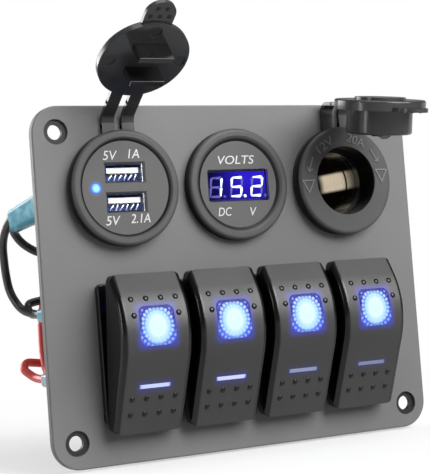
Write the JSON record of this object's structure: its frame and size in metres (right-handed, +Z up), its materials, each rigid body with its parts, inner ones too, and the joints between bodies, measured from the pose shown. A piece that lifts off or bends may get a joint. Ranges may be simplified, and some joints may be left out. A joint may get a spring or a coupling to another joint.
{
  "type": "rocker switch panel with charging socket and voltmeter",
  "caption": "Vehicle switch panel: lit rocker switches, dual USB charger and 12 V socket with hinged rubber caps, and a voltmeter, pre-wired behind a rounded plate.",
  "frame": {"origin": "centre of the four corner holes, on the plate's back face", "axes": "-Y out of the panel's front, +Z up, +X to the right seen from the front"},
  "size_m": [0.14, 0.131, 0.1385],
  "materials": {
    "panel_black": "fine matt powder coat",
    "housing_black": "satin",
    "bezel_black": "satin",
    "rocker_black": "satin",
    "rubber_black": "semi-gloss",
    "plate_steel": "nickel plated",
    "contact_brass": "bright",
    "tongue_white": "satin",
    "lens_blue": "translucent",
    "window_smoke": "clear tinted",
    "display_blue": "lit",
    "board_green": "solder mask",
    "fibre_tan": "fibre",
    "wire_black": "satin",
    "wire_red": "satin",
    "sleeve_blue": "translucent",
    "sleeve_clear": "translucent"
  },
  "bodies": {
    "panel": {"panel_plate": "panel_black", "usb_housing": "bezel_black", "usb_face_plate": "housing_black", "usb_port_shells": "plate_steel", "usb_port_tongues": "tongue_white", "usb_port_contacts": "contact_brass", "usb_indicator_lens": "lens_blue", "usb_circuit_board": "board_green", "usb_rear_cover": "housing_black", "usb_blades": "contact_brass", "usb_cap_ring": "rubber_black", "usb_cap_straps": "rubber_black", "meter_housing": "bezel_black", "meter_face_plate": "housing_black", "meter_window": "window_smoke", "meter_display": "display_blue", "meter_circuit_board": "board_green", "meter_rear_cover": "housing_black", "meter_blades": "contact_brass", "socket_housing": "bezel_black", "socket_liner": "plate_steel", "socket_insulator": "fibre_tan", "socket_centre_contact": "contact_brass", "socket_rear_cover": "housing_black", "socket_blades": "contact_brass", "socket_cap_ring": "rubber_black", "socket_cap_straps": "rubber_black", "ring_nuts": "housing_black", "switch_pivot_pins": "plate_steel", "switch_arm_cradles": "contact_brass", "switch_lamp_boards": "board_green", "switch_lamp_leds": "lens_blue", "switch_blades": "contact_brass", "spade_sleeves_blue": "sleeve_blue", "spade_sleeves_clear": "sleeve_clear", "spade_receptacles": "contact_brass", "wire_black_usb_to_switch": "wire_black", "wire_black_usb_to_meter": "wire_black", "wire_black_switch_to_switch": "wire_black", "wire_red_usb_to_switch": "wire_red", "wire_red_switch_to_switch": "wire_red", "switch_1_housing": "housing_black", "switch_2_housing": "housing_black", "switch_3_housing": "housing_black", "switch_4_housing": "housing_black"},
    "usb_lid": {"usb_cap_lid": "rubber_black", "usb_cap_plugs": "rubber_black"},
    "socket_lid": {"socket_cap_lid": "rubber_black"},
    "rocker_1": {"switch_1_rocker": "rocker_black", "switch_1_lenses": "lens_blue"},
    "contact_arm_1": {"switch_1_contact_arm": "contact_brass"},
    "rocker_2": {"switch_2_rocker": "rocker_black", "switch_2_lenses": "lens_blue"},
    "contact_arm_2": {"switch_2_contact_arm": "contact_brass"},
    "rocker_3": {"switch_3_rocker": "rocker_black", "switch_3_lenses": "lens_blue"},
    "contact_arm_3": {"switch_3_contact_arm": "contact_brass"},
    "rocker_4": {"switch_4_rocker": "rocker_black", "switch_4_lenses": "lens_blue"},
    "contact_arm_4": {"switch_4_contact_arm": "contact_brass"}
  },
  "joints": [
    {"name": "usb_lid_hinge", "type": "hinge", "parent": "panel", "child": "usb_lid", "pos_m": [-0.0412, -0.0071, 0.05325], "axis": [-1, 0, 0], "range_deg": [-126, 45], "deforming": ["usb_cap_straps", "usb_cap_plugs"]},
    {"name": "socket_lid_hinge", "type": "hinge", "parent": "panel", "child": "socket_lid", "pos_m": [0.0412, -0.00635, 0.0543], "axis": [-1, 0, 0], "range_deg": [-78.5, 81], "deforming": ["socket_cap_straps"]},
    {"name": "rocker_1_pivot", "type": "hinge", "parent": "panel", "child": "rocker_1", "pos_m": [-0.0402, -0.0025, -0.0218], "axis": [-1, 0, 0], "range_deg": [0, 14]},
    {"name": "contact_arm_1_pivot", "type": "hinge", "parent": "panel", "child": "contact_arm_1", "pos_m": [-0.0402, 0.01605, -0.0218], "axis": [-1, 0, 0], "range_deg": [-10, 0]},
    {"name": "rocker_2_pivot", "type": "hinge", "parent": "panel", "child": "rocker_2", "pos_m": [-0.0134, -0.0025, -0.0218], "axis": [-1, 0, 0], "range_deg": [0, 14]},
    {"name": "contact_arm_2_pivot", "type": "hinge", "parent": "panel", "child": "contact_arm_2", "pos_m": [-0.0134, 0.01605, -0.0218], "axis": [-1, 0, 0], "range_deg": [-10, 0]},
    {"name": "rocker_3_pivot", "type": "hinge", "parent": "panel", "child": "rocker_3", "pos_m": [0.0134, -0.0025, -0.0218], "axis": [-1, 0, 0], "range_deg": [0, 14]},
    {"name": "contact_arm_3_pivot", "type": "hinge", "parent": "panel", "child": "contact_arm_3", "pos_m": [0.0134, 0.01605, -0.0218], "axis": [-1, 0, 0], "range_deg": [-10, 0]},
    {"name": "rocker_4_pivot", "type": "hinge", "parent": "panel", "child": "rocker_4", "pos_m": [0.0402, -0.0025, -0.0218], "axis": [-1, 0, 0], "range_deg": [0, 14]},
    {"name": "contact_arm_4_pivot", "type": "hinge", "parent": "panel", "child": "contact_arm_4", "pos_m": [0.0402, 0.01605, -0.0218], "axis": [-1, 0, 0], "range_deg": [-10, 0]}
  ],
  "couplings": [
    {"joint": "contact_arm_1_pivot", "follows": "rocker_1_pivot", "ratio": -0.71429},
    {"joint": "contact_arm_2_pivot", "follows": "rocker_2_pivot", "ratio": -0.71429},
    {"joint": "contact_arm_3_pivot", "follows": "rocker_3_pivot", "ratio": -0.71429},
    {"joint": "contact_arm_4_pivot", "follows": "rocker_4_pivot", "ratio": -0.71429}
  ]
}
